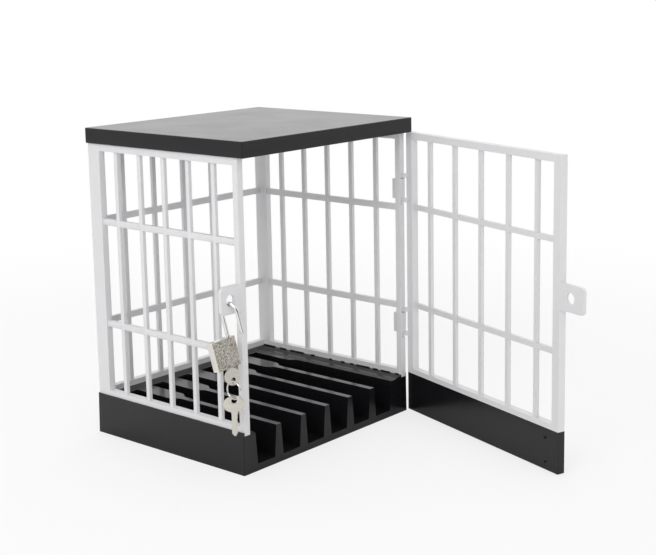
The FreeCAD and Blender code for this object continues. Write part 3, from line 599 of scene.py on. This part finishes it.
# %% [markdown]
# ## Key ring
# A split ring is a flat coil of nearly two turns. Two plain rings could stand for
# it, but they wouldn't show where the coil begins and ends. A path that climbs by
# one wire's thickness over each turn lays the turns side by side.

# %% Coil the split ring
ring_heart = Vector((-88.344, -68.791, 56.237)) * MM
RING_RADIUS, RING_WIRE = 5.45 * MM, 0.275 * MM
TURNS, TURN_STEPS = 1.94, 96
RING_START = math.radians(200)
PRESSED = 0.98


def on_ring(share):
    """A point on the coil, at a share of the way along it."""
    angle = math.tau * TURNS * share + RING_START
    climb = (share * TURNS - TURNS / 2) * 2.0 * RING_WIRE
    return ring_heart + Vector((climb * PRESSED, RING_RADIUS * math.cos(angle),
                                RING_RADIUS * math.sin(angle)))


ring = wire("split_ring", [on_ring(i / TURN_STEPS) for i in range(TURN_STEPS + 1)],
            RING_WIRE, sides=12)
smooth(ring, degrees=30)
ring.data.materials.append(chrome.material)
stand_in(ring, "key_ring")

# %% [markdown]
# ## Spare key
# A key is punched from flat sheet: a bow with a hole, a short neck and a blade whose
# edge carries the cuts. It could be cut from a block with Booleans, but an outline
# follows the punch. It is drawn as points in millimetres, with the hole as a second
# outline, and a flat curve fills the metal between them. The curve gets the sheet's
# thickness and a small rounded edge, and becomes a mesh.

# %% Punch a key from its outline
KEY_THICK, KEY_EDGE = 0.88, 0.12
HOLE_STEPS, BOW_STEPS = 28, 44


def oval(centre, width, height, neck):
    """The bow of a key, from the left of its neck over the top to the right."""
    half = math.asin(neck / (width / 2))
    start = -math.pi / 2 - half
    sweep = math.tau - 2 * half
    turns = [start - sweep * i / BOW_STEPS for i in range(BOW_STEPS + 1)]
    return [(centre[0] + width / 2 * math.cos(turn),
             centre[1] + height / 2 * math.sin(turn)) for turn in turns]


def circle(centre, radius):
    """The hole of a key."""
    turns = [math.tau * i / HOLE_STEPS for i in range(HOLE_STEPS)]
    return [(centre[0] + radius * math.cos(turn),
             centre[1] + radius * math.sin(turn)) for turn in turns]


def punch(name, outlines, place, right, up):
    """A flat key from its outlines, laid in a plane at its place."""
    curve = bpy.data.curves.new(name, "CURVE")
    curve.dimensions = "2D"
    curve.fill_mode = "BOTH"
    curve.extrude = (KEY_THICK / 2 - KEY_EDGE) * MM
    curve.bevel_depth = KEY_EDGE * MM
    curve.offset = -KEY_EDGE * MM
    curve.bevel_resolution = 1
    for points in outlines:
        line = curve.splines.new("POLY")
        line.points.add(len(points) - 1)
        for point, (x, y) in zip(line.points, points):
            point.co = (x * MM, y * MM, 0.0, 1.0)
        line.use_cyclic_u = True
    drawn_key = bpy.data.objects.new(name, curve)
    scene.collection.objects.link(drawn_key)
    select_only(drawn_key)
    bpy.ops.object.convert(target="MESH")
    key = bpy.context.object
    edit_all(key, (bpy.ops.mesh.remove_doubles, {"threshold": 2 * MERGE}), OUTWARD)
    smooth(key, degrees=32)
    plane = Matrix((right, up, right.cross(up))).transposed().to_4x4()
    key.data.transform(Matrix.Translation(place) @ plane)
    return key


# %% [markdown]
# ## Hang the spare key
# The key hangs straight down from the ring, turned a little under half a right
# angle to the front. The measured key could be used as it is, but its bow is round,
# and the photograph shows a wide oval, so it is made anew. Its blade has three cuts
# on one edge and a tapered tip.

# %% Make the spare key
spare_place = Vector((-88.344, -68.791, 50.787)) * MM
YAW = math.radians(-42)
spare_right = Vector((math.cos(YAW), math.sin(YAW), 0.0))
spare_up = Vector((0.0, 0.0, 1.0))
bow = oval(centre=(0.0, -3.0), width=13.2, height=10.2, neck=2.1)
blade = [(1.75, -9.4), (1.75, -12.0), (1.25, -12.7), (1.75, -13.4), (1.75, -14.6),
         (1.05, -15.4), (1.75, -16.2), (1.75, -17.4), (1.35, -18.1), (1.75, -18.8),
         (1.75, -20.6), (0.6, -22.8), (-0.4, -22.8), (-1.75, -21.2), (-1.75, -9.4)]
hole = circle(centre=(0.0, -0.9), radius=1.7)
spare = punch("punched_spare_key", [bow + blade, hole], spare_place, spare_right, spare_up)
spare.data.materials.append(nickel.material)
stand_in(spare, "spare_key")

# %% [markdown]
# ## Springs
# A spring in the lock is held between two parts that move towards each other. It could ride
# on one of them, but would then run into the other. Here its coil is a smoothed copy of the
# measured one that takes its place where it stands. It follows neither part and keeps its
# length.

# %% Copy the springs


def held_between(node, still, moving):
    """A smoothed copy of a spring that takes its place, tied to no body."""
    coil = copy_of(node, "_wound")
    edit_all(coil, (bpy.ops.mesh.remove_doubles, {"threshold": MERGE}))
    smooth(coil, degrees=35)
    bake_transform(coil)
    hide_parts(node)
    print(node, "is held between", still, "and", moving)


held_between("shackle_spring", "leg_spring", "lock_case")
held_between("latch_spring", "lock_case", "latch")

# %% [markdown]
# ## Sloping ledge
# The ledge round the slots slopes up a little to the foot of the panels. Its section
# is a shallow wedge. Three wedges could make it, but one strip that is carried
# round the three sides of the tray turns the corners without gaps. The ledge is
# narrower at the back and at the left, and so is the wedge.

# %% Raise the ledge
PANEL_FACE, BACK_FACE, FRONT_END = 75.0 * MM, 62.4 * MM, -68.0 * MM
LEDGE_TOP, SLOPE_TOP = 25.0 * MM, 26.7 * MM
SLOPE_WIDTH, SLOPE_LAND = 7.4 * MM, 0.3 * MM
BACK_SHARE, LEFT_SHARE = 0.7, 0.68
SECTION = [(0.0, LEDGE_TOP), (0.0, SLOPE_TOP), (SLOPE_LAND, SLOPE_TOP),
           (SLOPE_WIDTH, LEDGE_TOP)]


def round_the_sides(inset, height):
    """The four turning points of the strip, at a distance in from the panels."""
    right, back = PANEL_FACE - inset, BACK_FACE - inset * BACK_SHARE
    left = -PANEL_FACE + inset * LEFT_SHARE
    return [(left, FRONT_END, height), (left, back, height),
            (right, back, height), (right, FRONT_END, height)]


corners = [corner for inset, height in SECTION for corner in round_the_sides(inset, height)]
ENDS = [(0, 4, 8, 12), (3, 15, 11, 7)]
walls = []
for row in range(len(SECTION)):
    here, above = row * 4, (row + 1) % len(SECTION) * 4
    walls += [(here + k, here + k + 1, above + k + 1, above + k) for k in range(3)]
curb = add_mesh("ledge_curb", corners, walls + ENDS)
edit_all(curb, OUTWARD)
print("ledge rises by mm:", round((SLOPE_TOP - LEDGE_TOP) / MM, 2))

# %% [markdown]
# ## Painted shade along the ledge
# Along the foot of the right panel lies a row of short and long dark shadow spots. They are
# painted shade: small black bumps and short ridges in the tray's plastic stand on the ledge
# in their place. Round beads could be the short ones, but the long ones are ridges. So each
# starts as a small block, gets rounded edges, and is joined to the strip.

# %% Set the painted-shade bumps on the ledge
SHADE_BUMP_DEPTH, SHADE_BUMP_HEIGHT = 0.55 * MM, 0.75 * MM
SHADE_BUMP_SUNK, SHADE_BUMP_ROUND = 0.15 * MM, 0.18 * MM
# Where each dark shadow spot lies along the panel and how long it is, in millimetres; a black
# bump of painted shade goes on each.
PLACE_AND_LENGTH = [
    (57.8, 14.2), (43.2, 6.1), (28.9, 13.4), (13.6, 3.5), (-3.7, 2.1), (-15.1, 3.3),
    (-23.6, 3.4), (-33.7, 12.5), (-45.1, 4.3), (-54.2, 8.0), (-64.3, 3.0)]
shade_bumps = []
for y, length in PLACE_AND_LENGTH:
    bpy.ops.object.select_all(action="DESELECT")
    bpy.ops.mesh.primitive_cube_add(size=1.0)
    shade_bumps.append(bpy.context.object)
    centre = (PANEL_FACE - SHADE_BUMP_DEPTH / 2, y * MM, SLOPE_TOP + SHADE_BUMP_HEIGHT / 2 - SHADE_BUMP_SUNK)
    edit_all(shade_bumps[-1],
             (bpy.ops.transform.resize, {"value": (SHADE_BUMP_DEPTH, length * MM, SHADE_BUMP_HEIGHT)}),
             (bpy.ops.transform.translate, {"value": centre}),
             (bpy.ops.mesh.bevel, {"offset": SHADE_BUMP_ROUND, "segments": 2, "affect": "EDGES"}))
select_only(curb)
for shade_bump in shade_bumps:
    shade_bump.select_set(True)
bpy.ops.object.join()
smooth(curb, degrees=30)
# The bumps take the tray's black plastic, which paints the shadow spots dark.
curb.data.materials.append(black.material)
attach(curb, "cage")
print("pips:", len(shade_bumps))

# %% [markdown]
# ## Floor
# A curved sheet of paper could lie under the object, as in a studio, but a wide flat
# disc is simpler. Near the object it takes the shadow, and between a quarter and
# three quarters of a metre out it fades to the white of the backdrop.
# The white is a glow that only the camera sees, so it sheds no light.

# %% Lay the floor
FLOOR_RADIUS = 6.0
FADE_FROM, FADE_TO, FADE_START = 0.25, 0.75, 0.72
bpy.ops.object.select_all(action="DESELECT")
bpy.ops.mesh.primitive_circle_add(vertices=96, radius=FLOOR_RADIUS, fill_type="NGON")
floor = bpy.context.object
floor.name = "floor"
ground = Finish("pale_floor", (0.86, 0.86, 0.87), roughness=0.8)
reach = ground.node("ShaderNodeVectorMath", {"operation": "LENGTH"}, [ground.place], "Value")
fade = ground.ramp(reach, FADE_FROM, FADE_TO, FADE_START, 1.0)
glow = ground.node("ShaderNodeEmission", {}, {"Color": (1.0, 1.0, 1.0, 1.0)})
plain = Amount(ground, ground.shader.outputs[0])
blend = ground.node("ShaderNodeMixShader", {}, [
    fade * ground.ray("Is Camera Ray"), plain, glow])
ground.feed(blend, ground.tree.nodes["Material Output"].inputs["Surface"])
floor.data.materials.append(ground.material)
print("floor radius m:", FLOOR_RADIUS)
